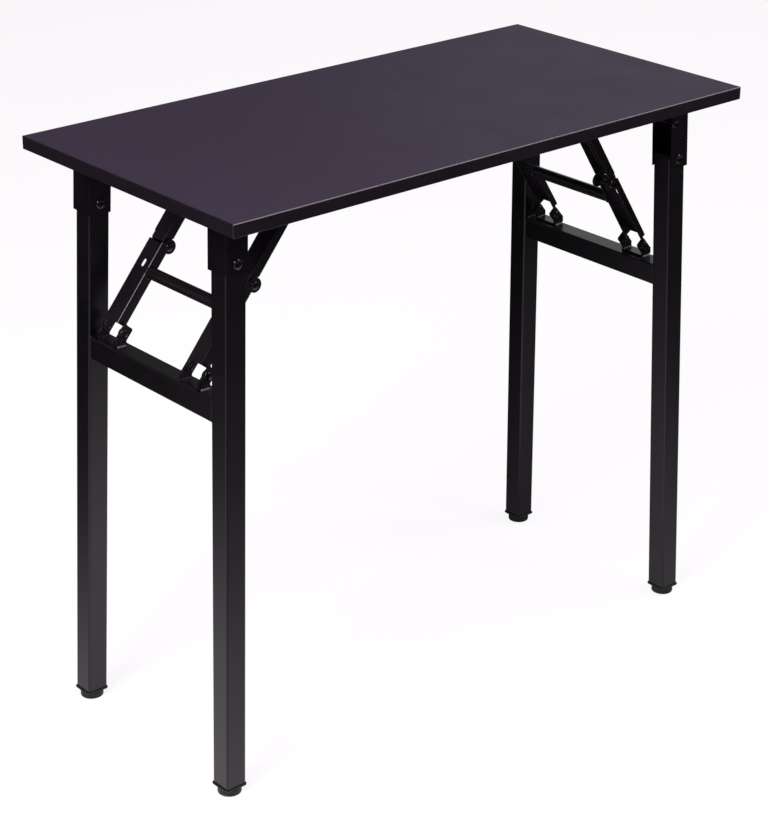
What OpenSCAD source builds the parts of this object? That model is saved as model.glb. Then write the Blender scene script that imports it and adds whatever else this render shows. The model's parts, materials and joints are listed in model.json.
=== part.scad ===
// Folding computer desk with two leg frames that fold flat under the top.
// Millimetres, Z up, floor at z = 0, long side along X, front side toward -Y.

/* [Tabletop] */
// Length of the tabletop
top_length = 800; // [760:5:900]
// Depth of the tabletop
top_depth = 400; // [360:5:500]
// Height of the work surface above the floor
desk_height = 733; // [710:1:760]
// Thickness of the board
top_thickness = 16; // [15:0.5:25]
// Thickness of the plastic edge band
band_thickness = 1; // [0.5:0.1:2]

/* [Legs] */
// Side of the square leg tube
leg_size = 28; // [25:0.5:30]
// Wall of the leg and crossbar tubes
tube_wall = 1.5; // [1.2:0.1:2]
// Outer corner radius of the leg tube
tube_corner = 2.5; // [2.2:0.1:4]
// Distance from the end of the top to the leg pivot
pivot_inset = 46; // [42:0.5:60]
// Distance from a long edge of the top to the nearest leg pivots
leg_margin = 71; // [60:1:74]
// Outward lean of a leg frame, in degrees
frame_lean = 2.36; // [0:0.02:4]
// Sideways lean of each leg inside its frame, in degrees
side_lean = 1.31; // [0:0.01:1.6]
// Depth of the left leg pivot below the top, the right one lies a leg lower
pivot_drop = 54; // [52:0.5:60]
// Gap between the two folded leg frames
stack_gap = 0.5; // [0.4:0.1:2]
// Diameter of the leg pivot rivet
leg_rivet = 8; // [6:0.5:8]

/* [Crossbars] */
// Depth of the left crossbar's upper face below the top
bar_drop_left = 218; // [212:1:222]
// Depth of the right crossbar's upper face below the top
bar_drop_right = 231.5; // [226:0.5:236]
// Width of a crossbar along X
bar_width = 26; // [25:0.5:27]
// Height of a crossbar
bar_height = 28; // [25:0.5:34]

/* [Braces] */
// Pivot to pivot length of a lower link
link_low = 115; // [112:0.5:117]
// Pivot to pivot length of an upper link
link_up = 94; // [92:0.5:96]
// Outer width of a lower link
brace_width = 26; // [24:0.5:30]
// Thickness of the brace sheet
brace_sheet = 1.5; // [1.2:0.1:2]
// Distance along the crossbar from a leg pivot to its brace, before the shift
brace_margin = 48; // [47:0.5:59]
// Shift of both braces toward the back
brace_shift = 7; // [0:0.5:8]
// Height of the lower brace pivot above the crossbar
pin_height = 16; // [15:0.5:18]
// Depth of the upper brace pivot below the top
bracket_drop = 40; // [38:0.5:41]
// Diameter of the brace rivets
brace_rivet = 6; // [5:0.5:6]
// Diameter of the tie bar between two lower links
tie_diameter = 15; // [12:0.5:16]

/* [Feet] */
// Diameter of a foot pad
pad_diameter = 29; // [26:0.5:34]
// Height of a foot pad
pad_height = 9.7; // [8:0.1:14]
// Thickness of the plug flange under a leg
flange_height = 2.5; // [2:0.1:4]
// Diameter of the threaded stud
stud_diameter = 8; // [6:0.5:10]

/* [Hidden] */
$fn = 48;

// Clearances
bore_gap = 0.05;
nest_gap = 0.4;
stop_gap = 0.3;
sleeve_gap = 1;
pilot_gap = 0.02;
seat_gap = 0.2;
foot_gap = 0.1;

// Derived heights and places
board_low = desk_height - top_thickness;
foot_top = pad_height + flange_height;
pivot_x = top_length / 2 - pivot_inset;
leg_spacing = top_depth - 2 * leg_margin;
brace_spacing = leg_spacing - 2 * brace_margin;
leg_half = leg_size / 2;
leg_end_radius = leg_half - stop_gap;

// Leg sleeves
sleeve_sheet = 1.5;
sleeve_reach = 12;
base_sheet = 2;
base_margin = 15;
base_inner = 26;
screw_inset = 7;
spacer_depth = 34;
spacer_offset = 8;

// Rivets and screws
leg_head = 13;
leg_head_height = 2.6;
brace_head = 11;
brace_head_height = 2.2;
screw_shank = 4;
screw_length = 11;
screw_head = 8;
screw_head_height = 2.2;

// Brace links, in the frame of the link: z along the link, x away from the leg pivot
web_offset = 12.5;
flange_lip = 0.5;
narrow_lip = -3.7;
ear_mid = 9;
seam_gap = 1.5;
slot_width = 5.5;
slot_length = 10;
slot_place = 30.5;
tie_place = 37.5;
tie_offset = -5.5;

// Lower end of the lower link: the ears are set outwards between the cheeks of the clevis
low_inner = brace_width / 2 - brace_sheet;
low_half = brace_width / 2 + 2.1;
low_ear = 6;
wide_neck = 4.5;
narrow_neck = 3;
low_end = 7;
low_step = 11;

// Upper link
upper_width = brace_width - 2 * nest_gap;
upper_web = 12.1;
upper_lip = 0.5;
upper_step = 11.5;
upper_ear = 8.3;
upper_top_ear = 7.5;
upper_square_end = 9;
web_cut = 14;

// Clevis on the crossbar and bracket under the top
clevis_sheet = 3;
clevis_half = low_half + 0.5;
clevis_radius = 4;
clevis_shift = 2;
clevis_back = 13;
clevis_front = 3;
clevis_foot = 7;
clevis_lean = 38.5;
clevis_arm_width = 14.3;
clevis_arm_shift = 0.85;
clevis_arm_top = 10;
clevis_arm_corner = 3;
clevis_arm_length = 2 * (pin_height + clevis_arm_top);
rivet_tail = 7;
rivet_tail_height = 1.2;
bracket_sheet = 2;
bracket_width = brace_width + 2 * nest_gap + 2 * bracket_sheet;
bracket_radius = 8;
bracket_base = 52;
bracket_screw = 19;

// Foot plug and pad
plug_gap = 0.1;
plug_height = 22;
flange_over = 1.6;
stud_length = 18;
bar_corner = 2;

ENDS = [0, 1];
SIDES = [-1, 1];

function side_of(e) = e == 0 ? -1 : 1;
function drop_of(e) = e == 0 ? pivot_drop : pivot_drop + leg_size + stack_gap;
function pivot_z(e) = board_low - drop_of(e);
function bar_depth(e) = (e == 0 ? bar_drop_left : bar_drop_right) - drop_of(e);
function brace_y(k) = brace_shift + k * brace_spacing / 2;

// Lower brace pivot in the standing frame, measured inward and up from the leg pivot
function pin_z(e) = pin_height - bar_depth(e);
function low_pin_x(e) = clevis_shift * cos(frame_lean) + pin_z(e) * sin(frame_lean);
function low_pin_z(e) = -clevis_shift * sin(frame_lean) + pin_z(e) * cos(frame_lean);
function brace_rise(e) = drop_of(e) - bracket_drop - low_pin_z(e);
function brace_tilt(e) = acos(brace_rise(e) / (link_low + link_up));
function top_pin_x(e) = low_pin_x(e) + (link_low + link_up) * sin(brace_tilt(e));

// Centre of a leg where it meets the height z
function foot_x(e, z) = side_of(e) * (pivot_x + tan(frame_lean) * (pivot_z(e) - z));
function foot_y(e, f, z) = f * (leg_spacing / 2 + tan(side_lean) / cos(frame_lean) * (pivot_z(e) - z));

// Places: x runs inward from the leg pivot at both ends
module at_end(e) {
    translate([side_of(e) * pivot_x, 0, pivot_z(e)])
        if (e == 0) children();
        else mirror([1, 0, 0]) children();
}

module in_frame(e) {
    at_end(e) rotate([0, frame_lean, 0]) children();
}

module along_leg(e, f) {
    in_frame(e) translate([0, f * leg_spacing / 2, 0]) rotate([f * side_lean, 0, 0]) children();
}

module along_brace(e, k) {
    at_end(e) translate([low_pin_x(e), brace_y(k), low_pin_z(e)])
        rotate([0, brace_tilt(e), 0]) children();
}

module at_foot(e, f, z) {
    translate([foot_x(e, z), foot_y(e, f, z), z]) children();
}

// Shapes used more than once
module below(z) {
    translate([-top_length, -top_depth, z - desk_height])
        cube([2 * top_length, 2 * top_depth, desk_height]);
}

module above(z) {
    translate([-top_length, -top_depth, z])
        cube([2 * top_length, 2 * top_depth, desk_height]);
}

module round_rectangle(w, d, r) {
    square([w - 2 * r, d], center = true);
    square([w, d - 2 * r], center = true);
    for (sx = SIDES, sy = SIDES)
        translate([sx * (w / 2 - r), sy * (d / 2 - r)]) circle(r = r);
}

module round_tube(w, d, r, wall, length) {
    linear_extrude(height = length) difference() {
        round_rectangle(w, d, r);
        round_rectangle(w - 2 * wall, d - 2 * wall, r - wall);
    }
}

module cross_pin(d, length) {
    rotate([90, 0, 0]) cylinder(d = d, h = length, center = true);
}

module rivet_head(d, h) {
    cylinder(d1 = d, d2 = 0.86 * d, h = 0.55 * h);
    translate([0, 0, 0.55 * h]) cylinder(d1 = 0.86 * d, d2 = 0.45 * d, h = 0.45 * h);
}

module rivet(d, grip, head, head_h) {
    cross_pin(d, grip);
    for (s = SIDES)
        translate([0, s * grip / 2, 0]) rotate([-s * 90, 0, 0]) rivet_head(head, head_h);
}

module wood_screw() {
    translate([0, 0, -screw_head_height])
        cylinder(d1 = 0.6 * screw_head, d2 = screw_head, h = screw_head_height);
    cylinder(d = screw_shank, h = base_sheet + screw_length);
}

// Places of the screws
module sleeve_screw_places(e, f) {
    z = board_low - base_sheet;
    wide = leg_half + sleeve_gap + sleeve_sheet + base_margin - screw_inset;
    for (x = [-wide, base_inner - screw_inset], y = [-wide, wide])
        translate([foot_x(e, z) - side_of(e) * x, foot_y(e, f, z) + y, z]) children();
}

module bracket_screw_places(e, k) {
    for (s = SIDES)
        at_end(e) translate([top_pin_x(e) + s * bracket_screw, brace_y(k), drop_of(e) - base_sheet])
            children();
}

// Tabletop
module tabletop_board() {
    color("#3a3440") difference() {
        translate([-top_length / 2 + band_thickness, -top_depth / 2 + band_thickness, board_low])
            cube([top_length - 2 * band_thickness, top_depth - 2 * band_thickness, top_thickness]);
        for (e = ENDS, f = SIDES) {
            sleeve_screw_places(e, f)
                cylinder(d = screw_shank + 2 * pilot_gap, h = base_sheet + screw_length + 1);
            bracket_screw_places(e, f)
                cylinder(d = screw_shank + 2 * pilot_gap, h = base_sheet + screw_length + 1);
        }
    }
}

module long_band(s) {
    y = s * (top_depth - band_thickness) / 2;
    color("#1c171e") translate([-top_length / 2, y - band_thickness / 2, board_low])
        cube([top_length, band_thickness, top_thickness]);
}

module short_band(s) {
    x = s * (top_length - band_thickness) / 2;
    inner_depth = top_depth - 2 * band_thickness;
    color("#1c171e") translate([x - band_thickness / 2, -inner_depth / 2, board_low])
        cube([band_thickness, inner_depth, top_thickness]);
}

// Sleeves and brackets under the top
module sleeve_wall(e, f) {
    outer = leg_half + sleeve_gap + sleeve_sheet;
    back = leg_half + stop_gap;
    difference() {
        along_leg(e, f) translate([-back - sleeve_sheet, -outer, -sleeve_reach]) difference() {
            cube([back + sleeve_sheet + leg_half, 2 * outer, sleeve_reach + drop_of(e) + 5]);
            translate([sleeve_sheet, sleeve_sheet, -1])
                cube([2 * leg_size, 2 * (leg_half + sleeve_gap), sleeve_reach + drop_of(e) + 7]);
        }
        above(board_low - base_sheet / 2);
    }
}

module leg_sleeve(e, f) {
    z = board_low - base_sheet;
    wide = leg_half + sleeve_gap + sleeve_sheet + base_margin;
    color("#18131a") difference() {
        union() {
            sleeve_wall(e, f);
            translate([foot_x(e, z), foot_y(e, f, z), z])
                translate([side_of(e) > 0 ? -base_inner : -wide, -wide, 0])
                cube([wide + base_inner, 2 * wide, base_sheet]);
        }
        at_end(e) translate([0, f * leg_spacing / 2, 0]) cross_pin(leg_rivet + 2 * pilot_gap, 2 * leg_size);
        if (e == 1) spacer_place(e, f) cross_pin(brace_rivet + 2 * pilot_gap, 2 * leg_size);
        sleeve_screw_places(e, f)
            translate([0, 0, -1]) cylinder(d = screw_shank + 2 * pilot_gap, h = base_sheet + 2);
    }
}

module spacer_place(e, f) {
    in_frame(e) translate([spacer_offset, 0, drop_of(e) - spacer_depth])
        translate([0, f * (leg_spacing / 2 - (drop_of(e) - spacer_depth) * tan(side_lean)), 0]) children();
}

module sleeve_screws() {
    color("#8d8a90") for (e = ENDS, f = SIDES) sleeve_screw_places(e, f) wood_screw();
}

module leg_pivot_rivets() {
    grip = leg_size + 2 * (sleeve_gap + sleeve_sheet + seat_gap);
    color("#7c7980") for (e = ENDS, f = SIDES)
        at_end(e) translate([0, f * leg_spacing / 2, 0]) rivet(leg_rivet, grip, leg_head, leg_head_height);
}

module sleeve_spacer_rivets() {
    grip = leg_size + 2 * (sleeve_gap + sleeve_sheet + seat_gap);
    color("#7c7980") for (f = SIDES)
        spacer_place(1, f) rivet(brace_rivet, grip, brace_head, brace_head_height);
}

module brace_bracket(e, k) {
    color("#18131a") at_end(e) translate([top_pin_x(e), brace_y(k), drop_of(e)]) difference() {
        union() {
            translate([-bracket_base / 2, -bracket_width / 2, -base_sheet])
                cube([bracket_base, bracket_width, base_sheet]);
            for (s = SIDES)
                translate([0, s * (bracket_width - bracket_sheet) / 2, 0]) {
                    translate([-bracket_radius, -bracket_sheet / 2, -bracket_drop])
                        cube([2 * bracket_radius, bracket_sheet, bracket_drop - base_sheet / 2]);
                    translate([0, 0, -bracket_drop]) cross_pin(2 * bracket_radius, bracket_sheet);
                }
        }
        translate([0, 0, -bracket_drop]) cross_pin(brace_rivet + 2 * pilot_gap, 2 * bracket_width);
        for (s = SIDES)
            translate([s * bracket_screw, 0, -base_sheet - 1])
                cylinder(d = screw_shank + 2 * pilot_gap, h = base_sheet + 2);
    }
}

module bracket_screws() {
    color("#8d8a90") for (e = ENDS, k = SIDES) bracket_screw_places(e, k) wood_screw();
}

module bracket_rivet_ends() {
    color("#7c7980") for (e = ENDS, k = SIDES, s = SIDES)
        at_end(e) translate([top_pin_x(e), brace_y(k), drop_of(e) - bracket_drop]) {
            translate([0, s * (bracket_width - bracket_sheet) / 2, 0]) cross_pin(brace_rivet, bracket_sheet);
            translate([0, s * bracket_width / 2, 0])
                rotate([-s * 90, 0, 0]) rivet_head(brace_head, brace_head_height);
        }
}

// Leg frames
module leg_body(e, f) {
    along_leg(e, f) translate([0, 0, -desk_height])
        round_tube(leg_size, leg_size, tube_corner, tube_wall, desk_height + leg_half);
}

module leg(e, f) {
    color("#1e191d") difference() {
        leg_body(e, f);
        below(foot_top);
        along_leg(e, f) difference() {
            translate([-leg_size, -leg_size, 0]) cube([2 * leg_size, 2 * leg_size, 2 * leg_size]);
            cross_pin(2 * leg_end_radius, 3 * leg_size);
        }
        at_end(e) translate([0, f * leg_spacing / 2, 0]) cross_pin(leg_rivet + 2 * bore_gap, 2 * leg_size);
    }
}

module crossbar(e) {
    color("#242024") difference() {
        in_frame(e) translate([0, leg_spacing / 2, -bar_depth(e) - bar_height / 2])
            rotate([90, 0, 0]) round_tube(bar_width, bar_height, bar_corner, tube_wall, leg_spacing);
        for (f = SIDES)
            along_leg(e, f) translate([-leg_half, -leg_half, -desk_height])
                cube([leg_size, leg_size, desk_height]);
    }
}

// Side view of a clevis, measured from its pivot: a foot and an arm that leans along the brace
module clevis_outline() {
    intersection() {
        rotate(-clevis_lean) translate([clevis_arm_shift, clevis_arm_top - clevis_arm_length / 2])
            round_rectangle(clevis_arm_width, clevis_arm_length, clevis_arm_corner);
        translate([-clevis_back, -pin_height]) square(2 * clevis_arm_length);
    }
    translate([-clevis_back, -pin_height]) square([clevis_back + clevis_front, clevis_foot]);
}

module clevis_bend() {
    outer = clevis_half + clevis_sheet;
    deep = 2 * clevis_arm_length;
    rotate([90, 0, 90]) linear_extrude(height = deep, center = true) difference() {
        translate([0, deep / 2 - pin_height]) round_rectangle(2 * outer, deep, clevis_radius);
        translate([0, deep / 2 - pin_height + clevis_sheet])
            round_rectangle(2 * clevis_half, deep, clevis_radius - clevis_sheet);
    }
}

module clevis(e, k) {
    wide = 3 * clevis_half;
    color("#18131a") in_frame(e) translate([clevis_shift, brace_y(k), pin_z(e)]) difference() {
        intersection() {
            clevis_bend();
            rotate([90, 0, 0]) linear_extrude(height = wide, center = true) clevis_outline();
        }
        cross_pin(brace_rivet + 2 * pilot_gap, wide);
    }
}

// Each rivet joins one cheek of a clevis to one ear of the link
module clevis_rivets(e) {
    from = low_half - brace_sheet - seat_gap;
    to = clevis_half + clevis_sheet;
    color("#7c7980") for (k = SIDES, s = SIDES)
        in_frame(e) translate([clevis_shift, brace_y(k), pin_z(e)]) rotate([-s * 90, 0, 0]) {
            translate([0, 0, from]) cylinder(d = brace_rivet, h = to - from);
            translate([0, 0, to]) rivet_head(brace_head, brace_head_height);
            translate([0, 0, from]) mirror([0, 0, 1]) rivet_head(rivet_tail, rivet_tail_height);
        }
}

module foot_plug(e, f) {
    inner = leg_size - 2 * tube_wall - 2 * plug_gap;
    wide = leg_size + 2 * flange_over;
    color("#141216") difference() {
        union() {
            difference() {
                along_leg(e, f) translate([0, 0, -pivot_z(e)])
                    linear_extrude(height = foot_top + plug_height)
                    round_rectangle(inner, inner, max(tube_corner - tube_wall, 0.5));
                below(foot_top - flange_height / 2);
            }
            at_foot(e, f, pad_height) linear_extrude(height = flange_height)
                round_rectangle(wide, wide, tube_corner + flange_over);
        }
        at_foot(e, f, pad_height) translate([0, 0, -1])
            cylinder(d = stud_diameter + 2 * bore_gap, h = stud_length + 3);
    }
}

module foot_pad(e, f) {
    r = pad_diameter / 2;
    top = pad_height - foot_gap;
    color("#141216") at_foot(e, f, pad_height) translate([0, 0, -pad_height]) {
        cylinder(r1 = r - 1.2, r2 = r, h = 1.2);
        translate([0, 0, 1.2]) cylinder(r = r, h = top - 2.8);
        translate([0, 0, top - 1.6]) cylinder(r1 = r, r2 = r - 1.6, h = 1.6);
        translate([0, 0, top - 1]) cylinder(d = stud_diameter, h = stud_length + 1);
    }
}

// Folding braces
module ears(width, sheet, r, z) {
    for (s = SIDES)
        translate([0, s * (width - sheet) / 2, z]) cross_pin(2 * r, sheet);
}

// One side wall of a link: its outer face at |y| = face, from x to x + deep, from z to z + long
module side_strip(s, face, x, deep, z, long) {
    translate([x, s > 0 ? face - brace_sheet : -face, z]) cube([deep, brace_sheet, long]);
}

module side_step(s, inner_face, outer_face, x, deep, z) {
    translate([x, s > 0 ? inner_face - brace_sheet : -outer_face, z])
        cube([deep, outer_face - inner_face + brace_sheet, brace_sheet]);
}

// The right ends are turned half round, so their wide side wall is at the back
module lower_link(e, k) {
    half = brace_width / 2;
    color("#242024") along_brace(e, k) difference() {
        union() {
            translate([-web_offset, -half, low_end])
                cube([brace_sheet, brace_width, link_low - seam_gap - low_end]);
            for (s = SIDES) {
                lip = s == side_of(e) ? flange_lip : narrow_lip;
                neck = s == side_of(e) ? wide_neck : narrow_neck;
                side_strip(s, half, -web_offset, web_offset + lip, low_end, link_low - low_end);
                side_strip(s, low_half, lip - neck, neck, 0, low_step);
                side_step(s, half, low_half, lip - neck, neck, low_step - brace_sheet);
            }
            ears(2 * low_half, brace_sheet, low_ear, 0);
            ears(brace_width, brace_sheet, ear_mid, link_low);
        }
        for (z = [0, link_low])
            translate([0, 0, z]) cross_pin(brace_rivet + 2 * bore_gap, 2 * brace_width);
        translate([0, 0, link_low - slot_place]) rotate([0, -90, 0]) {
            for (s = SIDES)
                translate([s * (slot_length - slot_width) / 2, 0, web_offset / 2])
                    cylinder(d = slot_width, h = web_offset);
            translate([-(slot_length - slot_width) / 2, -slot_width / 2, web_offset / 2])
                cube([slot_length - slot_width, slot_width, web_offset]);
        }
    }
}

// The lower end is set inwards between the side walls of the lower link
module upper_link(e, k) {
    half = upper_width / 2;
    neck = low_inner - nest_gap;
    wall_end = link_up - upper_square_end;
    color("#242024") along_brace(e, k) translate([0, 0, link_low]) difference() {
        union() {
            translate([-upper_web, -neck, seam_gap]) cube([brace_sheet, 2 * neck, upper_step]);
            translate([-upper_web, -half, upper_step])
                cube([brace_sheet, upper_width, link_up - web_cut - upper_step]);
            for (s = SIDES) {
                side_strip(s, neck, -upper_web, upper_web - upper_lip, seam_gap, upper_step - seam_gap);
                side_step(s, neck, half, -upper_web, upper_web - upper_lip, upper_step - brace_sheet);
                side_strip(s, half, -upper_web, upper_web - upper_lip, upper_step - brace_sheet,
                    wall_end - upper_step + brace_sheet);
                side_strip(s, half, -upper_top_ear, upper_top_ear - upper_lip, wall_end, upper_square_end);
            }
            ears(2 * neck, brace_sheet, upper_ear, 0);
            ears(upper_width, brace_sheet, upper_top_ear, link_up);
        }
        for (z = [0, link_up])
            translate([0, 0, z]) cross_pin(brace_rivet + 2 * bore_gap, 2 * brace_width);
    }
}

module tie_bar(e) {
    length = brace_spacing - brace_width;
    color("#242024") at_end(e) translate([low_pin_x(e), brace_shift, low_pin_z(e)])
        rotate([0, brace_tilt(e), 0]) translate([tie_offset, 0, link_low - tie_place]) difference() {
            cross_pin(tie_diameter, length);
            cross_pin(tie_diameter - 2 * brace_sheet, length + 2);
        }
}

module middle_rivets(e) {
    color("#7c7980") for (k = SIDES)
        along_brace(e, k) translate([0, 0, link_low])
            rivet(brace_rivet, brace_width, brace_head, brace_head_height);
}

tabletop_board();
long_band(-1);  // edge_band_front
long_band(1);  // edge_band_back
short_band(-1);  // edge_band_left
short_band(1);  // edge_band_right
leg_sleeve(0, -1);  // leg_sleeve_left_front
leg_sleeve(0, 1);  // leg_sleeve_left_back
leg_sleeve(1, -1);  // leg_sleeve_right_front
leg_sleeve(1, 1);  // leg_sleeve_right_back
sleeve_screws();
leg_pivot_rivets();
sleeve_spacer_rivets();
brace_bracket(0, -1);  // brace_bracket_left_front
brace_bracket(0, 1);  // brace_bracket_left_back
brace_bracket(1, -1);  // brace_bracket_right_front
brace_bracket(1, 1);  // brace_bracket_right_back
bracket_screws();
bracket_rivet_ends();
leg(0, -1);  // left_leg_front
leg(0, 1);  // left_leg_back
crossbar(0);  // left_crossbar
clevis(0, -1);  // left_clevis_front
clevis(0, 1);  // left_clevis_back
clevis_rivets(0);  // left_clevis_rivets
foot_plug(0, -1);  // left_foot_plug_front
foot_plug(0, 1);  // left_foot_plug_back
leg(1, -1);  // right_leg_front
leg(1, 1);  // right_leg_back
crossbar(1);  // right_crossbar
clevis(1, -1);  // right_clevis_front
clevis(1, 1);  // right_clevis_back
clevis_rivets(1);  // right_clevis_rivets
foot_plug(1, -1);  // right_foot_plug_front
foot_plug(1, 1);  // right_foot_plug_back
lower_link(0, -1);  // left_lower_link_front
lower_link(0, 1);  // left_lower_link_back
tie_bar(0);  // left_tie_bar
middle_rivets(0);  // left_middle_rivets
lower_link(1, -1);  // right_lower_link_front
lower_link(1, 1);  // right_lower_link_back
tie_bar(1);  // right_tie_bar
middle_rivets(1);  // right_middle_rivets
upper_link(0, -1);  // left_upper_link_front
upper_link(0, 1);  // left_upper_link_back
upper_link(1, -1);  // right_upper_link_front
upper_link(1, 1);  // right_upper_link_back
foot_pad(0, -1);  // left_foot_pad_front
foot_pad(0, 1);  // left_foot_pad_back
foot_pad(1, -1);  // right_foot_pad_front
foot_pad(1, 1);  // right_foot_pad_back
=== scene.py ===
"""Looks of the folding computer desk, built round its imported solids. Metres, floor at z = 0."""

import json
import math

import bmesh
import bpy
from mathutils import Matrix, Vector


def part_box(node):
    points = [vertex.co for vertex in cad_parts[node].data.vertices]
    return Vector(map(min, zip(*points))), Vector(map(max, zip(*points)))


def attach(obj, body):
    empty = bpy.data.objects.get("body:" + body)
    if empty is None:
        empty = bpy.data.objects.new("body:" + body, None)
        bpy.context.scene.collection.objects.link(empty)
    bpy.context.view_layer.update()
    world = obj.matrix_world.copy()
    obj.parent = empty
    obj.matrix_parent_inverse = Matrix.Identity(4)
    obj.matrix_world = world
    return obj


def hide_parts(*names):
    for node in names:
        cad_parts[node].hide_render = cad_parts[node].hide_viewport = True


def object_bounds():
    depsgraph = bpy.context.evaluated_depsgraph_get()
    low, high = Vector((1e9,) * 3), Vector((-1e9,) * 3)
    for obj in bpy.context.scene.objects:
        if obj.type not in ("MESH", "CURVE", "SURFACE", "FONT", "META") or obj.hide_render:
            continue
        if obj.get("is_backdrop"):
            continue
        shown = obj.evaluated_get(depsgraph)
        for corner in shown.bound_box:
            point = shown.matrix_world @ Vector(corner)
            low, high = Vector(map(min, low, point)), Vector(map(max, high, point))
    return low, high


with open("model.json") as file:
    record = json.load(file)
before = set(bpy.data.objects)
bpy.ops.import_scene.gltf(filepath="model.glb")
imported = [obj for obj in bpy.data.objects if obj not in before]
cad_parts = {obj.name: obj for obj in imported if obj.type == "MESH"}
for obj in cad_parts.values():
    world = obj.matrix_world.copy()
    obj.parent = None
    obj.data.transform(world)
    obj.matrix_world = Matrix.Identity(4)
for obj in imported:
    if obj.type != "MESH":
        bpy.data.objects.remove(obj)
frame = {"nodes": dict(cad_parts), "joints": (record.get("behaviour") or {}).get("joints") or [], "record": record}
cad_low, cad_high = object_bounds()
NODES = frame["nodes"]
ENDS = ((0, "left", -1), (1, "right", 1))
SIDES = ((0, "front", -1), (1, "back", 1))

# Sizes and pins of the frame, in metres
TOP_HALF_LENGTH, TOP_HALF_DEPTH, TOP_HEIGHT = cad_high
BOARD_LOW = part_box("tabletop_board")[0].z
PINS = {joint["name"]: Vector(joint["pos_m"]) for joint in frame["joints"] if "pos_m" in joint}
LEG_PIVOTS = [PINS[end + "_leg_fold"] for e, end, side in ENDS]
LOWER_PINS = [PINS[end + "_lower_links_turn"] for e, end, side in ENDS]
MIDDLE_PINS = [PINS[end + "_upper_link_front_turn"] for e, end, side in ENDS]
LINK_LOW = (MIDDLE_PINS[0] - LOWER_PINS[0]).length

# Values shared with the part's source, in metres and radians
MM = 0.001
LEG_Y = 129 * MM
LEG_HALF = 14 * MM
LEAN = math.radians(2.36)
SIDE_LEAN = math.radians(1.31)
BAR_WIDTH = 26 * MM
BAR_HEIGHT = 28 * MM
LINK_UP = 94 * MM
PIN_HEIGHT = 16 * MM
BRACE_SHIFT = 7 * MM
BRACE_SPREAD = 81 * MM
BRACE_Y = (BRACE_SHIFT - BRACE_SPREAD, BRACE_SHIFT + BRACE_SPREAD)
TIE_R = 7.5 * MM
TIE_X = -5.5 * MM
TIE_PLACE = LINK_LOW - 37.5 * MM

# Folded sheets: outer face of the web, half of the outer width, and OUTER where the rivet heads sit
SHEET = 1.5 * MM
SLEEVE_WEB = -15.8 * MM
SLEEVE_HALF = 16.5 * MM
SLEEVE_OUTER = 16.7 * MM
LINK_WEB = -12.5 * MM
LINK_HALF = 13 * MM
UP_WEB = -12.1 * MM
UP_HALVES = (11.1 * MM, 12.6 * MM)
CLEVIS_OUTER = 18.6 * MM
BRACKET_OUTER = 15.4 * MM
BRACKET_SHEET = 2 * MM
BASE_SHEET = 2 * MM

# Clevises: place of the pin inward from the middle of the frame, and both ends of the base from the pin
CLEVIS_SHIFT = 2 * MM
CLEVIS_BACK = 13 * MM
CLEVIS_FRONT = 3 * MM

# Rivets: radius of the shank, then radius and height of the head
LEG_RIVET = (4 * MM, 6.5 * MM, 2.6 * MM)
SMALL_RIVET = (3 * MM, 5.5 * MM, 2.2 * MM)
TAIL = (3.5 * MM, 1.2 * MM)
CLEVIS_GRIP = 5.2 * MM

# Spacer rivets: inward from the middle of the frame, and down from the board
SPACER_X = 8 * MM
SPACER_DROP = 34 * MM

# Screws under the top, measured from the middle line of a leg or from the upper pin of a brace
SLEEVE_SCREW_X = (-24.5 * MM, 19 * MM)
SLEEVE_SCREW_Y = 24.5 * MM
BRACKET_SCREW_X = 19 * MM

# Feet
PAD_HEIGHT = 9.7 * MM
STUD_LOW = 9.5 * MM
STUD_R = 4 * MM
STUD_LENGTH = 18 * MM


# Places
def turned(x, z, a):
    """The point turned by an angle that leans +Z towards +X."""
    return x * math.cos(a) + z * math.sin(a), -x * math.sin(a) + z * math.cos(a)


def to_world(e, x, y, z):
    """Point given inward and up from the leg pivot of one end."""
    pivot = LEG_PIVOTS[e]
    return Vector((pivot.x - ENDS[e][2] * x, y, pivot.z + z))


def from_pivot(e, co):
    """How far a point lies inward and up from the leg pivot of one end."""
    pivot = LEG_PIVOTS[e]
    return ENDS[e][2] * (pivot.x - co.x), co.z - pivot.z


def frame_point(e, x, y, z):
    """Point given in the leaning leg frame of one end."""
    a, b = turned(x, z, LEAN)
    return to_world(e, a, y, b)


def bar_top(e):
    """Top of a crossbar along the leaning leg frame, from the leg pivot up."""
    return turned(*from_pivot(e, LOWER_PINS[e]), -LEAN)[1] - PIN_HEIGHT


def brace_tilt(e):
    """Lean of the straight braces, from their lower pins to the middle ones."""
    low_x, low_z = from_pivot(e, LOWER_PINS[e])
    mid_x, mid_z = from_pivot(e, MIDDLE_PINS[e])
    return math.atan2(mid_x - low_x, mid_z - low_z)


def brace_point(e, k, x, y, z):
    """Point given in a brace: z along it from the lower pin, x away from the leg pivot."""
    a, b = turned(x, z, brace_tilt(e))
    pin_x, pin_z = from_pivot(e, LOWER_PINS[e])
    return to_world(e, pin_x + a, BRACE_Y[k] + y, pin_z + b)


def in_brace(e, k, co):
    """World point as seen in a brace, the reverse of brace_point."""
    pin_x, pin_z = from_pivot(e, LOWER_PINS[e])
    x, z = from_pivot(e, co)
    x, z = turned(x - pin_x, z - pin_z, -brace_tilt(e))
    return x, co.y - BRACE_Y[k], z


def in_leg(e, k, co):
    """World point as seen in a leg, whose length runs along z."""
    x, z = turned(*from_pivot(e, co), -LEAN)
    s = SIDES[k][2]
    y = co.y - s * LEG_Y
    a = -s * SIDE_LEAN
    return x, y * math.cos(a) - z * math.sin(a), y * math.sin(a) + z * math.cos(a)


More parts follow.
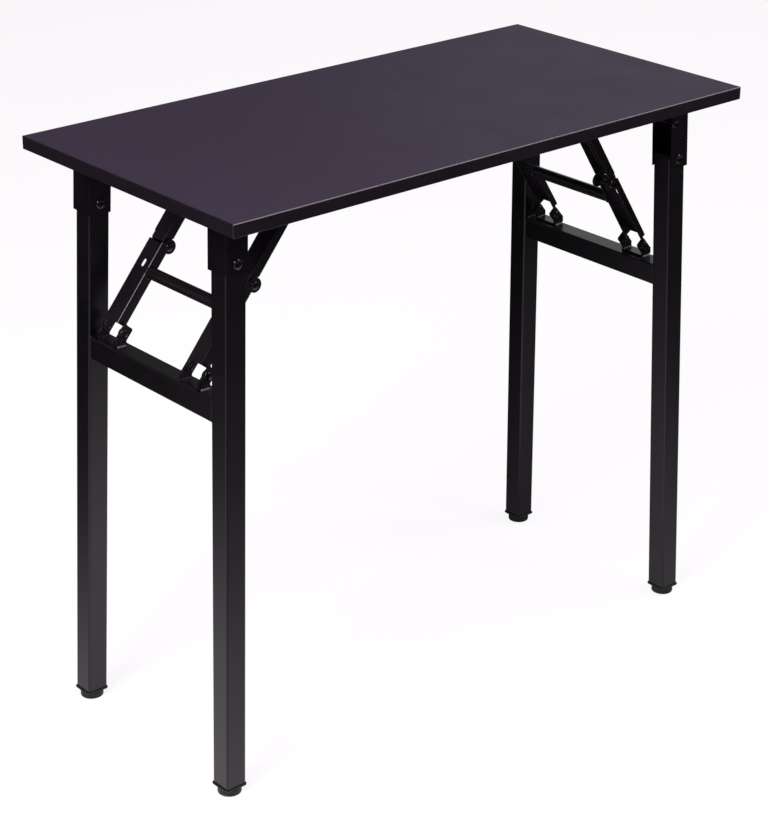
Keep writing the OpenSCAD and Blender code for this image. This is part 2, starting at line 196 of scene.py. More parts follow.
def foot_place(e, k, z):
    """Point on the middle line of a leg at a height above the floor."""
    fall = LEG_PIVOTS[e].z - z
    x = LEG_PIVOTS[e].x + ENDS[e][2] * math.tan(LEAN) * fall
    return Vector((x, SIDES[k][2] * (LEG_Y + math.tan(SIDE_LEAN) / math.cos(LEAN) * fall), z))


# Materials
def srgb(r, g, b):
    """Linear colour of display values from 0 to 255."""
    def lin(v):
        v = v / 255
        return v / 12.92 if v <= 0.04045 else ((v + 0.055) / 1.055) ** 2.4

    return (lin(r), lin(g), lin(b), 1)


def new_material(name, roughness, metallic=0.0, specular=0.5):
    m = bpy.data.materials.new(name)
    m.use_nodes = True
    nt = m.node_tree
    shader = nt.nodes["Principled BSDF"]
    shader.inputs["Roughness"].default_value = roughness
    shader.inputs["Metallic"].default_value = metallic
    shader.inputs["Specular IOR Level"].default_value = specular
    return m, nt, shader


def coords(nt, scale=(1, 1, 1)):
    tc = nt.nodes.new("ShaderNodeTexCoord")
    mp = nt.nodes.new("ShaderNodeMapping")
    mp.inputs["Scale"].default_value = scale
    nt.links.new(tc.outputs["Object"], mp.inputs["Vector"])
    return mp.outputs["Vector"]


def noise(nt, vector, scale, detail=3.0, rough=0.55):
    n = nt.nodes.new("ShaderNodeTexNoise")
    n.inputs["Scale"].default_value = scale
    n.inputs["Detail"].default_value = detail
    n.inputs["Roughness"].default_value = rough
    nt.links.new(vector, n.inputs["Vector"])
    return n.outputs["Fac"]


def ramp(nt, fac, stops):
    r = nt.nodes.new("ShaderNodeValToRGB")
    els = r.color_ramp.elements
    while len(els) < len(stops):
        els.new(0.5)
    for el, (pos, col) in zip(els, stops):
        el.position = pos
        el.color = col
    nt.links.new(fac, r.inputs["Fac"])
    return r.outputs["Color"]


def map_range(nt, fac, lo, hi):
    r = nt.nodes.new("ShaderNodeMapRange")
    r.inputs["To Min"].default_value = lo
    r.inputs["To Max"].default_value = hi
    nt.links.new(fac, r.inputs["Value"])
    return r.outputs["Result"]


def maths(nt, operation, a, b=0.0):
    """Output of a maths node whose inputs are sockets or numbers."""
    n = nt.nodes.new("ShaderNodeMath")
    n.operation = operation
    for socket, value in zip(n.inputs, (a, b)):
        if isinstance(value, (int, float)):
            socket.default_value = value
        else:
            nt.links.new(value, socket)
    return n.outputs[0]


def object_xyz(nt):
    """Sockets of the three object coordinates."""
    tc = nt.nodes.new("ShaderNodeTexCoord")
    xyz = nt.nodes.new("ShaderNodeSeparateXYZ")
    nt.links.new(tc.outputs["Object"], xyz.inputs[0])
    return xyz.outputs["X"], xyz.outputs["Y"], xyz.outputs["Z"]


def mix_colours(nt, factor, one, two, blend="MIX"):
    """Mixes two colours, each a socket or a plain colour."""
    mix = nt.nodes.new("ShaderNodeMix")
    mix.data_type = "RGBA"
    mix.blend_type = blend
    for socket, value in ((mix.inputs["Factor"], factor), (mix.inputs[6], one), (mix.inputs[7], two)):
        if isinstance(value, (int, float, tuple)):
            socket.default_value = value
        else:
            nt.links.new(value, socket)
    return mix.outputs[2]


def mix_shaders(nt, factor, one, two):
    mix = nt.nodes.new("ShaderNodeMixShader")
    for socket, value in zip(mix.inputs, (factor, one, two)):
        nt.links.new(value, socket)
    return mix.outputs[0]


def bump(nt, shader, height, strength, distance, before=None):
    b = nt.nodes.new("ShaderNodeBump")
    b.inputs["Strength"].default_value = strength
    b.inputs["Distance"].default_value = distance
    nt.links.new(height, b.inputs["Height"])
    if before is not None:
        nt.links.new(before, b.inputs["Normal"])
    nt.links.new(b.outputs["Normal"], shader.inputs["Normal"])
    return b.outputs["Normal"]


def laminate(name, colour, grain, rough=0.48, specular=0.15):
    """Melamine board face: even colour, faint cloudiness, fine pebbled press texture."""
    m, nt, sh = new_material(name, rough, specular=specular)
    v = coords(nt)
    cloud = noise(nt, v, 3.5, 4)
    c = Vector(colour[:3])
    low, high = tuple(c * 0.965) + (1,), tuple(c * 1.03) + (1,)
    base = ramp(nt, cloud, [(0.3, low), (0.7, high)])
    fleck = noise(nt, coords(nt, (0.35, 1, 1)), 900, 2)
    shade = ramp(nt, fleck, [(0.35, (0.93, 0.93, 0.93, 1)), (0.65, (1.05, 1.05, 1.05, 1))])
    nt.links.new(mix_colours(nt, 1.0, base, shade, "MULTIPLY"), sh.inputs["Base Color"])
    nt.links.new(map_range(nt, noise(nt, v, 14, 3), rough, rough + 0.14), sh.inputs["Roughness"])
    first = bump(nt, sh, noise(nt, v, 1400, 2), grain, 0.00012)
    bump(nt, sh, noise(nt, v, 260, 3), grain * 0.6, 0.0003, first)
    return m


def powder(name, colour, rough=0.42, specular=0.35, peel=0.22, streak=0.0):
    """Powder coat on steel: orange-peel skin, slight unevenness of colour and gloss."""
    m, nt, sh = new_material(name, rough, specular=specular)
    sh.inputs["Specular Tint"].default_value = (0.97, 0.84, 1, 1)
    v = coords(nt)
    c = Vector(colour[:3])
    low, high = tuple(c * 0.82) + (1,), tuple(c * 1.2) + (1,)
    base = ramp(nt, noise(nt, v, 11, 5, 0.6), [(0.3, low), (0.7, high)])
    nt.links.new(base, sh.inputs["Base Color"])
    nt.links.new(map_range(nt, noise(nt, v, 24, 4), rough - 0.07, rough + 0.08), sh.inputs["Roughness"])
    first = bump(nt, sh, noise(nt, v, 520, 2), peel, 0.00035)
    if streak:
        bump(nt, sh, noise(nt, coords(nt, (60, 60, 1.2)), 5, 3), streak, 0.0004, first)
    return m


def plated(name, colour, rough=0.32):
    """Plated steel: fine turned scratches and dull patches."""
    m, nt, sh = new_material(name, rough, metallic=1.0)
    v = coords(nt)
    c = Vector(colour[:3])
    low, high = tuple(c * 0.7) + (1,), tuple(c * 1.1) + (1,)
    nt.links.new(ramp(nt, noise(nt, v, 160, 4), [(0.35, low), (0.65, high)]), sh.inputs["Base Color"])
    nt.links.new(map_range(nt, noise(nt, v, 320, 4), rough - 0.1, rough + 0.16), sh.inputs["Roughness"])
    bump(nt, sh, noise(nt, coords(nt, (1, 6, 1)), 900, 2), 0.15, 0.0001)
    return m


def moulded(name, colour, rough=0.5):
    """Moulded plastic: fine spark-eroded skin."""
    m, nt, sh = new_material(name, rough, specular=0.4)
    v = coords(nt)
    c = Vector(colour[:3])
    low, high = tuple(c * 0.85) + (1,), tuple(c * 1.15) + (1,)
    nt.links.new(ramp(nt, noise(nt, v, 40, 4), [(0.3, low), (0.7, high)]), sh.inputs["Base Color"])
    nt.links.new(map_range(nt, noise(nt, v, 90, 3), rough - 0.06, rough + 0.08), sh.inputs["Roughness"])
    bump(nt, sh, noise(nt, v, 1600, 2), 0.25, 0.00015)
    return m


def band_plastic(name, colour, arris_highlight_colour):
    """Edge band: a paler line painted along the upper edge of the long bands stands for the highlight of light on
    their rounded arris.
    """
    m = laminate(name, colour, 0.05, 0.26, 0.5)
    nt = m.node_tree
    base = nt.nodes["Principled BSDF"].inputs["Base Color"]
    y, z = object_xyz(nt)[1:]
    outside = maths(nt, "GREATER_THAN", maths(nt, "ABSOLUTE", y), TOP_HALF_DEPTH - 0.95 * MM)
    above = maths(nt, "GREATER_THAN", z, TOP_HEIGHT - 1.1 * MM)
    plain = base.links[0].from_socket
    # Painted highlight: the upper edge of the long bands takes the paler colour
    nt.links.new(mix_colours(nt, maths(nt, "MULTIPLY", outside, above), plain, arris_highlight_colour), base)
    return m


MATERIALS = {
    "board": laminate("dark laminate", srgb(54, 44, 62), 0.12),
    # Edge band colour, then the paler colour painted on its arris as a highlight
    "edge_band": band_plastic("edge band plastic", srgb(24, 16, 26), srgb(112, 104, 112)),
    "tube_paint": powder("black powder coat, tube", srgb(11, 9, 11), 0.32, 0.5, 0.2, 0.05),
    "sheet_paint": powder("black powder coat, sheet", srgb(11, 8, 12), 0.28, 0.5, 0.2),
    "brace_paint": powder("black powder coat, braces", srgb(20, 16, 20), 0.28, 0.5, 0.2),
    "rivet": powder("gloss black rivet", srgb(16, 13, 17), 0.15, 0.6, 0.05),
    "zinc_screw": plated("zinc plated screw", srgb(172, 170, 174), 0.28),
    "foot_plastic": moulded("black moulded plastic", srgb(22, 20, 23), 0.5),
}
# Painted highlight: a pale colour on the beads along the clevis cheeks, standing for the glints of light on them
WELD_PAINTED_HIGHLIGHT = powder("weld with painted highlight", srgb(104, 100, 106), 0.2, 0.8, 0.4)
SLOT_OF = {s["node"]: s["material_slot"] for s in frame["record"]["subparts"]}
BODY_OF = {n: b for b, ns in frame["record"]["behaviour"]["bodies"].items() for n in ns}


# Meshes
def clean_copy(node):
    """The node's solid with shared corners and whole flat faces."""
    bm = bmesh.new()
    bm.from_mesh(NODES[node].data)
    bmesh.ops.remove_doubles(bm, verts=bm.verts, dist=2e-6)
    bmesh.ops.dissolve_limit(bm, angle_limit=math.radians(0.5), verts=bm.verts, edges=bm.edges)
    bmesh.ops.recalc_face_normals(bm, faces=bm.faces)
    return bm


def put(name, bm, slot, body, replaces=(), smooth=35):
    """Makes the mesh a piece of the body, in place of the nodes that it replaces."""
    mesh = bpy.data.meshes.new(name)
    bm.to_mesh(mesh)
    bm.free()
    for p in mesh.polygons:
        p.use_smooth = True
    mesh.set_sharp_from_angle(angle=math.radians(smooth))
    mesh.materials.append(MATERIALS[slot])
    obj = bpy.data.objects.new(name, mesh)
    bpy.context.scene.collection.objects.link(obj)
    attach(obj, body)
    if replaces:
        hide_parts(*replaces)
    return obj


def bevelled(bm, weight, width, segments=4, clamp=True):
    """Rounds the edges by width times each edge's weight."""
    mesh = bpy.data.meshes.new("work")
    layer = bm.edges.layers.float.get("bevel_weight_edge") or bm.edges.layers.float.new("bevel_weight_edge")
    for edge in bm.edges:
        edge[layer] = 0.0
        if len(edge.link_faces) == 2 and edge.calc_face_angle(0) > math.radians(24):
            edge[layer] = weight(edge)
    bm.to_mesh(mesh)
    bm.free()
    work = bpy.data.objects.new("work", mesh)
    bpy.context.scene.collection.objects.link(work)
    mod = work.modifiers.new("bevel", "BEVEL")
    mod.limit_method = "WEIGHT"
    mod.width = width
    mod.segments = segments
    mod.use_clamp_overlap = clamp
    mod.miter_outer = "MITER_SHARP"
    done = bmesh.new()
    dg = bpy.context.evaluated_depsgraph_get()
    done.from_mesh(work.evaluated_get(dg).to_mesh())
    bpy.data.objects.remove(work)
    bpy.data.meshes.remove(mesh)
    return done


def rounded(node, width, segments=3, weight=None, smooth=50, clamp=True):
    """The node's solid with rounded edges and normals that keep its faces flat."""
    bm = bevelled(clean_copy(node), weight or (lambda e: 1.0), width, segments, clamp)
    obj = put(node + "_shape", bm, SLOT_OF[node], BODY_OF[node], (node,), smooth)
    mod = obj.modifiers.new("normals", "WEIGHTED_NORMAL")
    mod.keep_sharp = True
    mod.weight = 60


def lathe(bm, profile, base, axis, segments):
    """Turns the profile of (radius, height) points round the axis into the mesh."""
    axis = Vector(axis).normalized()
    across = Vector((1, 0, 0))
    u = (across - axis * across.dot(axis)).normalized()
    v = axis.cross(u)
    rings = []
    for r, h in profile:
        if r < 1e-7:
            rings.append([bm.verts.new(base + axis * h)])
            continue
        ring = []
        for i in range(segments):
            a = 2 * math.pi * i / segments
            ring.append(bm.verts.new(base + axis * h + (u * math.cos(a) + v * math.sin(a)) * r))
        rings.append(ring)
    for one, two in zip(rings, rings[1:]):
        for i in range(segments):
            j = (i + 1) % segments
            if len(one) == 1 and len(two) > 1:
                bm.faces.new((one[0], two[j], two[i]))
            elif len(two) == 1 and len(one) > 1:
                bm.faces.new((one[i], one[j], two[0]))
            elif len(one) > 1 and len(two) > 1:
                bm.faces.new((one[i], one[j], two[j], two[i]))


def dome(radius, height, steps=7, rim=0.00035):
    """Profile of a domed rivet head with a short straight rim, from its seat up."""
    out = [(0, 0), (radius, 0), (radius, rim)]
    for i in range(1, steps + 1):
        a = math.pi / 2 * i / steps
        out.append((radius * math.cos(a) ** 0.8 if i < steps else 0, rim + (height - rim) * math.sin(a)))
    return out


def sweep(bm, path, radius, closed=False, sides=10, ripple=0.18, pitch=0.0016):
    """Weld bead: a tube along the path whose thickness ripples."""
    count = len(path)
    angles = [2 * math.pi * j / sides for j in range(sides)]
    rings = []
    run = 0.0
    for i, p in enumerate(path):
        before = path[i - 1] if (i or closed) else p
        after = path[(i + 1) % count] if (i < count - 1 or closed) else p
        t = (after - before).normalized()
        n = t.orthogonal().normalized()
        b = t.cross(n)
        if i:
            run += (p - path[i - 1]).length
        wave = ripple * math.sin(2 * math.pi * run / pitch)
        uneven = 0.1 * math.sin(run * 911)
        r = radius * (1 + wave + uneven)
        rings.append([bm.verts.new(p + (n * math.cos(a) + b * math.sin(a)) * r) for a in angles])
    pairs = list(zip(rings, rings[1:])) + ([(rings[-1], rings[0])] if closed else [])
    for one, two in pairs:
        shift = min(range(sides), key=lambda s: (one[0].co - two[s].co).length)
        for j in range(sides):
            k = (j + 1) % sides
            bm.faces.new((one[j], one[k], two[(k + shift) % sides], two[(j + shift) % sides]))
    if not closed:
        bm.faces.new(list(reversed(rings[0])))
        bm.faces.new(rings[-1])


def along(points, step):
    """The polyline with a point about every step."""
    out = []
    for a, b in zip(points, points[1:]):
        n = max(1, round((b - a).length / step))
        out += [a.lerp(b, i / n) for i in range(n)]
    return out + [points[-1]]


# Tabletop
def band_edge(axis, half):
    """Full weight for the outer edges of a band, at half the size of the top along the axis."""
    def weight(edge):
        a, b = (v.co[axis] for v in edge.verts)
        return 1.0 if abs((a + b) / 2) > half - 0.05 * MM else 0.06

    return weight


for place in ("front", "back"):
    rounded("edge_band_" + place, 0.9 * MM, 4, band_edge(1, TOP_HALF_DEPTH))
for end in ("left", "right"):
    rounded("edge_band_" + end, 0.9 * MM, 4, band_edge(0, TOP_HALF_LENGTH))
rounded("tabletop_board", 0.15 * MM, 2)


# Sleeves, brackets, clevises
def bend_edges(local, e, k, web, *halves, cut=0.1):
    """Weight of the long outer bends of a folded sheet, of its inner bends, and of the cut edges."""
    near = 0.2 * MM

    def weight(edge):
        a, b = (local(e, k, v.co) for v in edge.verts)
        lengthwise = abs(a[2] - b[2]) > 4 * max(abs(a[0] - b[0]), abs(a[1] - b[1]))
        if lengthwise:
            x, y = (a[0] + b[0]) / 2, abs((a[1] + b[1]) / 2)
            for half in halves:
                if abs(x - web) < near and abs(y - half) < near:
                    return 1.0
                if abs(x - web - SHEET) < near and abs(y - half + SHEET) < near:
                    return 0.4
        return cut

    return weight


for e, end, side in ENDS:
    for k, place, s in SIDES:
        bends = bend_edges(in_leg, e, k, SLEEVE_WEB, SLEEVE_HALF, cut=0.2)
        rounded(f"leg_sleeve_{end}_{place}", 2.4 * MM, 5, bends)
        rounded(f"brace_bracket_{end}_{place}", 0.4 * MM, 3)
        rounded(f"{end}_clevis_{place}", 0.4 * MM, 3)

# Leg frames
for e, end, side in ENDS:
    for k, place, s in SIDES:
        rounded(f"{end}_leg_{place}", 0.25 * MM, 2, smooth=40)
        rounded(f"{end}_foot_plug_{place}", 0.7 * MM, 3, smooth=40)
    rounded(f"{end}_crossbar", 0.25 * MM, 2, smooth=40)

# Braces
for e, end, side in ENDS:
    for k, place, s in SIDES:
        bends = bend_edges(in_brace, e, k, LINK_WEB, LINK_HALF)
        rounded(f"{end}_lower_link_{place}", 2.3 * MM, 5, bends, clamp=False)
        bends = bend_edges(in_brace, e, k, UP_WEB, *UP_HALVES)
        rounded(f"{end}_upper_link_{place}", 2.3 * MM, 5, bends)
    rounded(f"{end}_tie_bar", 0.3 * MM, 2, smooth=40)


# Rivets
def rivet_pair(bm, centre, half, rivet, length=None):
    """Two heads, half away from the centre. Their shanks reach the centre unless a length is given."""
    shank, head, height = rivet
    deep = length or half
    for d in (-1, 1):
        axis = Vector((0, d, 0))
        lathe(bm, [(0, -deep), (shank, -deep), (shank, 0)], centre + axis * half, axis, 32)
        lathe(bm, dome(head, height), centre + axis * half, axis, 40)


def clevis_rivet_pair(bm, centre):
    """A short rivet through each cheek of a clevis, with a tail on its inner side."""
    shank, head, height = SMALL_RIVET
    for d in (-1, 1):
        axis = Vector((0, d, 0))
        lathe(bm, [(shank, -CLEVIS_GRIP), (shank, 0)], centre + axis * CLEVIS_OUTER, axis, 32)
        lathe(bm, dome(head, height), centre + axis * CLEVIS_OUTER, axis, 40)
        lathe(bm, dome(*TAIL), centre + axis * (CLEVIS_OUTER - CLEVIS_GRIP), -axis, 32)


bm = bmesh.new()
for e, end, side in ENDS:
    for k, place, s in SIDES:
        rivet_pair(bm, to_world(e, 0, s * LEG_Y, 0), SLEEVE_OUTER, LEG_RIVET)
put("leg_pivot_rivet_heads", bm, "rivet", "top", ("leg_pivot_rivets",), 40)

bm = bmesh.new()
for k, place, s in SIDES:
    up = BOARD_LOW - LEG_PIVOTS[1].z - SPACER_DROP
    centre = frame_point(1, SPACER_X, s * (LEG_Y - up * math.tan(SIDE_LEAN)), up)
    rivet_pair(bm, centre, SLEEVE_OUTER, SMALL_RIVET)
put("spacer_rivet_heads", bm, "rivet", "top", ("sleeve_spacer_rivets",), 40)

bm = bmesh.new()
for e, end, side in ENDS:
    for k, place, s in SIDES:
        top = brace_point(e, k, 0, 0, LINK_LOW + LINK_UP)
        rivet_pair(bm, top, BRACKET_OUTER, SMALL_RIVET, BRACKET_SHEET)
put("bracket_rivet_heads", bm, "rivet", "top", ("bracket_rivet_ends",), 40)

for e, end, side in ENDS:
    low, mid = bmesh.new(), bmesh.new()
    for k, place, s in SIDES:
        clevis_rivet_pair(low, brace_point(e, k, 0, 0, 0))
        rivet_pair(mid, brace_point(e, k, 0, 0, LINK_LOW), LINK_HALF, SMALL_RIVET)
    put(end + "_clevis_rivet_heads", low, "rivet", end + "_leg_frame", (end + "_clevis_rivets",), 40)
    put(end + "_middle_rivet_heads", mid, "rivet", end + "_lower_links", (end + "_middle_rivets",), 40)


# Screws
def screw_mesh():
    """Wood screw along +Z with a pan head below its seat and a cross recess in the head."""
    bm = bmesh.new()
    r, h = 4 * MM, 2.2 * MM
    shank, core, pitch, length = 2 * MM, 1.55 * MM, 1.2 * MM, 13 * MM
    pan = [(0, -h), (0.55 * r, -h), (0.78 * r, -0.9 * h), (0.93 * r, -0.68 * h), (r, -0.35 * h),
           (r, -0.02 * h), (0.97 * r, 0), (shank, 0)]
    ridges = []
    z = 0.0
    while z < length - pitch / 2:
        ridges += [(shank, z + 0.2 * MM), (core, z + 0.8 * MM)]
        z += pitch
    point = [(0.9 * MM, length - 0.4 * MM), (0, length)]
    lathe(bm, pan + ridges + point, Vector((0, 0, 0)), (0, 0, 1), 32)
    mesh = bpy.data.meshes.new("wood_screw")
    bmesh.ops.recalc_face_normals(bm, faces=bm.faces)
    bm.to_mesh(mesh)
    bm.free()
    head = bpy.data.objects.new("work", mesh)
    bpy.context.scene.collection.objects.link(head)
    cut = bmesh.new()
    arm, slot = 4.6 * MM, 1 * MM
    for w, d in ((arm, slot), (slot, arm)):
        made = bmesh.ops.create_cube(cut, size=1)
        bmesh.ops.scale(cut, vec=(w, d, h), verts=made["verts"])
        bmesh.ops.translate(cut, vec=(0, 0, -h), verts=made["verts"])
    cutter_mesh = bpy.data.meshes.new("cut")
    cut.to_mesh(cutter_mesh)
    cut.free()
    cutter = bpy.data.objects.new("cut", cutter_mesh)
    bpy.context.scene.collection.objects.link(cutter)
    mod = head.modifiers.new("cross", "BOOLEAN")
    mod.object = cutter
    mod.operation = "DIFFERENCE"
    mod.solver = "EXACT"
    mod.use_self = True
    done = bmesh.new()
    done.from_mesh(head.evaluated_get(bpy.context.evaluated_depsgraph_get()).to_mesh())
    for o in (head, cutter):
        bpy.data.objects.remove(o)
    return done


SCREW = screw_mesh()


def screws(name, node, places):
    """A screw at each place, each turned a little further than the one before."""
    bm = bmesh.new()
    part = bpy.data.meshes.new("one")
    SCREW.to_mesh(part)
    for i, p in enumerate(places):
        start = len(bm.verts)
        bm.from_mesh(part)
        bm.verts.ensure_lookup_table()
        new = bm.verts[start:]
        bmesh.ops.rotate(bm, verts=new, cent=(0, 0, 0), matrix=Matrix.Rotation(0.7 * i + 0.3, 3, "Z"))
        bmesh.ops.translate(bm, verts=new, vec=p)
    bpy.data.meshes.remove(part)
    put(name, bm, "zinc_screw", "top", (node,), 35)


seat_z = BOARD_LOW - BASE_SHEET
places = []
for e, end, side in ENDS:
    for k, place, s in SIDES:
        c = foot_place(e, k, seat_z)
        for x in SLEEVE_SCREW_X:
            places += [Vector((c.x - side * x, c.y + d * SLEEVE_SCREW_Y, seat_z)) for d in (-1, 1)]
screws("sleeve_screw_heads", "sleeve_screws", places)
places = []
for e, end, side in ENDS:
    for k, place, s in SIDES:
        top = brace_point(e, k, 0, 0, LINK_LOW + LINK_UP)
        places += [Vector((top.x + d * BRACKET_SCREW_X, BRACE_Y[k], seat_z)) for d in (-1, 1)]
screws("bracket_screw_heads", "bracket_screws", places)


# Feet
def thread(bm, base, radius, length, pitch=1.25 * MM, depth=0.5 * MM, around=24, per=6):
    """Screw thread along +Z as one grid whose radius follows the helix."""
    rows = int(length / pitch * per)
    grid = []
    for i in range(rows + 1):
        z = length * i / rows
        ring = []
        for j in range(around):
            a = 2 * math.pi * j / around
            t = (z / pitch - j / around) % 1
            r = radius - depth * abs(2 * t - 1)
            ring.append(bm.verts.new(base + Vector((r * math.cos(a), r * math.sin(a), z))))
        grid.append(ring)
    for one, two in zip(grid, grid[1:]):
        for j in range(around):
            k = (j + 1) % around
            bm.faces.new((one[j], one[k], two[k], two[j]))
    bm.faces.new(grid[-1])


# Outline of a pad as radii and heights in millimetres, from its foot to the stud
PAD = [(0, 0), (12.6, 0), (13.5, 0.15), (14.2, 0.6), (14.5, 1.3), (14.5, 3.0), (14.15, 3.3), (14.15, 3.8),
       (14.5, 4.1), (14.5, 7.4), (14.3, 8.2), (13.7, 8.8), (12.8, 9.2), (11.6, 9.4), (10.8, 9.45),
       (10.4, 9.0), (7.0, 8.9), (6.6, 9.3), (5.6, 9.55), (4.0, 9.6)]
for e, end, side in ENDS:
    for k, place, s in SIDES:
        bm = bmesh.new()
        base = foot_place(e, k, PAD_HEIGHT)
        base.z = 0
        lathe(bm, [(r * MM, h * MM) for r, h in PAD], base, (0, 0, 1), 56)
        thread(bm, base + Vector((0, 0, STUD_LOW)), STUD_R, STUD_LENGTH)
        bmesh.ops.recalc_face_normals(bm, faces=bm.faces)
        node = f"{end}_foot_pad_{place}"
        put(f"{end}_foot_{place}", bm, "foot_plastic", node, (node,), 32)


# Welds
def bar_end_weld(bm, e, s):
    """Bead round the end of a crossbar, on the inner face of a leg."""
    w, r = BAR_WIDTH / 2 - 0.3 * MM, 2 * MM
    high = bar_top(e)
    low = high - BAR_HEIGHT
    corners = [(-w, high - r), (-w + r, high), (w - r, high), (w, high - r), (w, low + r), (w - r, low),
               (-w + r, low), (-w, low + r), (-w, high - r)]
    points = []
    for x, z in corners:
        y = s * (LEG_Y + math.tan(SIDE_LEAN) * -z - LEG_HALF / math.cos(SIDE_LEAN) - 0.2 * MM)
        points.append(frame_point(e, x, y, z))
    sweep(bm, along(points, 0.5 * MM)[:-1], 1.1 * MM, closed=True)


def clevis_end_welds(bm, e, k):
    """Beads on the crossbar at both ends of the base of a clevis."""
    half = 13.5 * MM
    z = bar_top(e) + 0.1 * MM
    for x in (CLEVIS_SHIFT - CLEVIS_BACK - 0.1 * MM, CLEVIS_SHIFT + CLEVIS_FRONT + 0.1 * MM):
        ends = [frame_point(e, x, BRACE_Y[k] + d * half, z) for d in (-1, 1)]
        sweep(bm, along(ends, 0.5 * MM), 0.95 * MM)


def clevis_side_welds(bm, e, k):
    """Beads on the crossbar along the cheeks of a clevis."""
    z = bar_top(e) + 0.4 * MM
    for d in (-1, 1):
        y = BRACE_Y[k] + d * (CLEVIS_OUTER - 0.5 * MM)
        xs = (CLEVIS_SHIFT - CLEVIS_BACK + 3 * MM, CLEVIS_SHIFT + CLEVIS_FRONT - 1 * MM)
        sweep(bm, along([frame_point(e, x, y, z) for x in xs], 0.4 * MM), 1.7 * MM, ripple=0.12)


def tie_weld(bm, e, k, s):
    """Bead round the end of a tie bar, on the inner wall of a lower link."""
    ring = []
    count = 72
    for i in range(count):
        a = 2 * math.pi * i / count
        x, z = TIE_X + TIE_R * math.cos(a), TIE_PLACE + TIE_R * math.sin(a)
        ring.append(brace_point(e, k, x, -s * (LINK_HALF + 0.1 * MM), z))
    sweep(bm, ring, 0.8 * MM, closed=True)


for e, end, side in ENDS:
    painted, highlight_beads, ties = bmesh.new(), bmesh.new(), bmesh.new()
    for k, place, s in SIDES:
        bar_end_weld(painted, e, s)
        clevis_end_welds(painted, e, k)
        clevis_side_welds(highlight_beads, e, k)
        tie_weld(ties, e, k, s)
    put(end + "_frame_welds", painted, "tube_paint", end + "_leg_frame", (), 60)
    beads = put(end + "_clevis_welds", highlight_beads, "tube_paint", end + "_leg_frame", (), 60)
    # The side beads take the pale colour of the painted highlight
    beads.data.materials[0] = WELD_PAINTED_HIGHLIGHT
    put(end + "_tie_welds", ties, "brace_paint", end + "_lower_links", (), 60)


# Floor, light and camera
def reflected_glow(nt):
    """Brightness of the floor in reflections. Places are in metres from the middle of the desk."""
    def squares(a, b):
        return maths(nt, "ADD", maths(nt, "MULTIPLY", a, a), maths(nt, "MULTIPLY", b, b))

    x, y = object_xyz(nt)[:2]

    # Bright along the desk, fading to the front, the back and the right
    bright_y, bright_depth = -0.12, 0.57
    slant_start, slant_length = -0.4, 0.75
    bright = 1.15
    away = maths(nt, "DIVIDE", maths(nt, "SUBTRACT", y, bright_y), bright_depth)
    slant = maths(nt, "SUBTRACT", maths(nt, "ADD", x, y), slant_start)
    aside = maths(nt, "MAXIMUM", maths(nt, "DIVIDE", slant, slant_length), 0)
    fade = maths(nt, "EXPONENT", maths(nt, "MULTIPLY", squares(away, aside), -1))
    near = maths(nt, "MULTIPLY", fade, bright)

    # Pale again far away, which shows the dark faces in low views
    far_start, far_full, pale = 3.2, 5.5, 0.4
    far = nt.nodes.new("ShaderNodeMapRange")
    far.interpolation_type = "SMOOTHSTEP"
    far.inputs["From Min"].default_value = far_start
    far.inputs["From Max"].default_value = far_full
    far.inputs["To Min"].default_value = 0
    far.inputs["To Max"].default_value = pale
    nt.links.new(maths(nt, "SQRT", squares(x, y)), far.inputs["Value"])
    return maths(nt, "ADD", near, far.outputs["Result"])


def floor_material(name, colour, glow_colour):
    """White to the camera but for the desk's shadow, dimmer in reflections, and clear from below."""
    m = bpy.data.materials.new(name)
    m.use_nodes = True
    nt = m.node_tree
    nt.nodes.clear()
    out = nt.nodes.new("ShaderNodeOutputMaterial")
    diffuse = nt.nodes.new("ShaderNodeBsdfDiffuse")
    diffuse.inputs["Color"].default_value = colour
    glow = nt.nodes.new("ShaderNodeEmission")
    glow.inputs["Color"].default_value = glow_colour
    path = nt.nodes.new("ShaderNodeLightPath")
    seen, mirrored = path.outputs["Is Camera Ray"], path.outputs["Is Glossy Ray"]
    seen_strength, seen_share = 1.1, 0.8
    reflected = maths(nt, "MULTIPLY", mirrored, reflected_glow(nt))
    strength = maths(nt, "ADD", maths(nt, "MULTIPLY", seen, seen_strength), reflected)
    nt.links.new(strength, glow.inputs["Strength"])
    share = maths(nt, "ADD", maths(nt, "MULTIPLY", seen, seen_share), mirrored)
    upper = mix_shaders(nt, share, diffuse.outputs[0], glow.outputs[0])
    geometry = nt.nodes.new("ShaderNodeNewGeometry")
    clear = nt.nodes.new("ShaderNodeBsdfTransparent")
    both = mix_shaders(nt, geometry.outputs["Backfacing"], upper, clear.outputs[0])
    nt.links.new(both, out.inputs["Surface"])
    return m


def floor_plane(name, size, material):
    bm = bmesh.new()
    bmesh.ops.create_grid(bm, x_segments=1, y_segments=1, size=size)
    mesh = bpy.data.meshes.new(name)
    bm.to_mesh(mesh)
    bm.free()
    mesh.materials.append(material)
    obj = bpy.data.objects.new(name, mesh)
    bpy.context.scene.collection.objects.link(obj)
    obj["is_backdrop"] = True


def studio_world():
    """White behind the desk, and a dim light from all round."""
    world = bpy.data.worlds.new("studio")
    world.use_nodes = True
    nt = world.node_tree
    nt.nodes.clear()
    out = nt.nodes.new("ShaderNodeOutputWorld")
    path = nt.nodes.new("ShaderNodeLightPath")
    shades = []
    for colour, strength in (((1, 0.99, 1, 1), 0.1), ((1, 0.995, 1, 1), 1.0)):
        n = nt.nodes.new("ShaderNodeBackground")
        n.inputs["Color"].default_value = colour
        n.inputs["Strength"].default_value = strength
        shades.append(n.outputs[0])
    nt.links.new(mix_shaders(nt, path.outputs["Is Camera Ray"], *shades), out.inputs["Surface"])
    return world


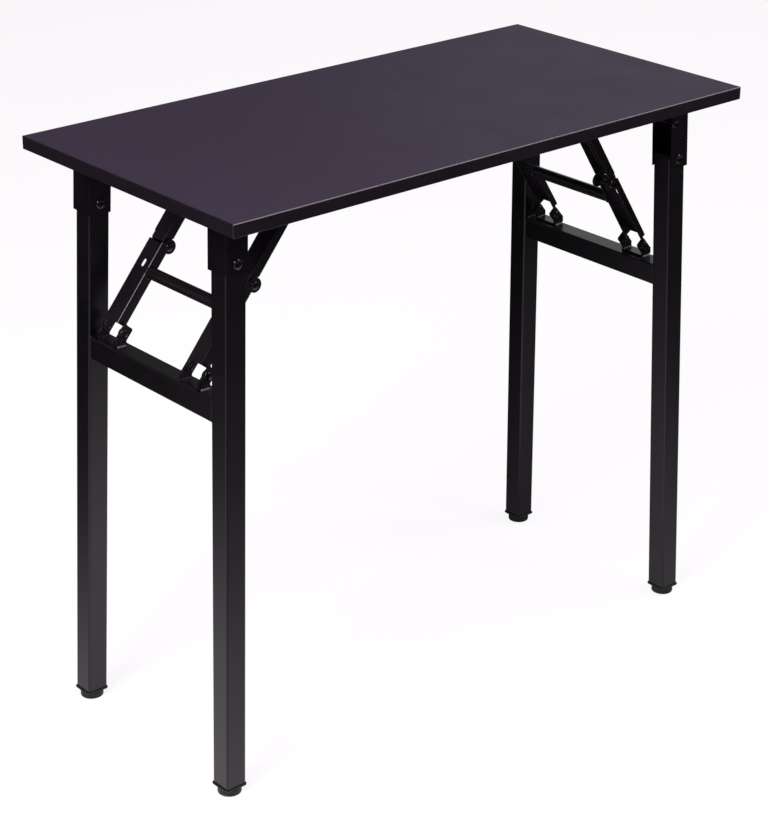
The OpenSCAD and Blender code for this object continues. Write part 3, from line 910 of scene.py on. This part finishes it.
floor_plane("floor", 30, floor_material("floor", (0.92, 0.915, 0.92, 1), (1, 0.98, 1, 1)))
bpy.context.scene.world = studio_world()


def soft_box(name, place, target, size, power):
    lamp = bpy.data.lights.new(name, "AREA")
    lamp.shape = "RECTANGLE"
    lamp.size, lamp.size_y = size
    lamp.energy = power
    obj = bpy.data.objects.new(name, lamp)
    obj.location = place
    obj.rotation_mode = "QUATERNION"
    obj.rotation_quaternion = (Vector(target) - Vector(place)).to_track_quat("-Z", "Y")
    bpy.context.scene.collection.objects.link(obj)


soft_box("overhead", (-0.6, -0.3, 3.2), (-0.1, 0, 0.5), (4.2, 3.6), 42)
soft_box("left", (-2.25, -0.65, 2.25), (-0.2, 0, 0.55), (1.1, 1.1), 56)
soft_box("front", (1.3, -2.1, 2.0), (0, 0, 0.5), (0.7, 0.7), 14)
soft_box("front right", (2.44, -1.13, 2.81), (0.1, -0.2, 0.73), (0.9, 1.1), 24)
soft_box("back right", (3.3, 2.4, 1.75), (0.36, 0, 0.5), (1.8, 1.6), 7)


def photo_camera(place, azimuth, elevation, roll, focal_pixels, photo_height):
    """Camera of the photograph, whose focal length is known in pixels of the photo."""
    level = math.cos(elevation)
    back = Vector((math.sin(azimuth) * level, -math.cos(azimuth) * level, math.sin(elevation)))
    right = Vector((math.cos(azimuth), math.sin(azimuth), 0))
    up = back.cross(right)
    right, up = right * math.cos(roll) + up * math.sin(roll), up * math.cos(roll) - right * math.sin(roll)
    data = bpy.data.cameras.new("camera")
    data.sensor_width = 36
    data.lens = focal_pixels * data.sensor_width / photo_height
    data.clip_start, data.clip_end = 0.05, 60
    obj = bpy.data.objects.new("camera", data)
    turn = Matrix((right, up, back)).transposed().to_4x4()
    obj.matrix_world = Matrix.Translation(place) @ turn
    bpy.context.scene.collection.objects.link(obj)
    return obj


view = (math.radians(-41.38), math.radians(24.35), math.radians(0.5))
bpy.context.scene.camera = photo_camera((-1.7214, -1.9378, 1.5098), *view, 2228, 820)
bpy.context.scene.view_settings.view_transform = "Standard"

low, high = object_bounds()
{"cad": [list(cad_low), list(cad_high)], "visual": [list(low), list(high)]}
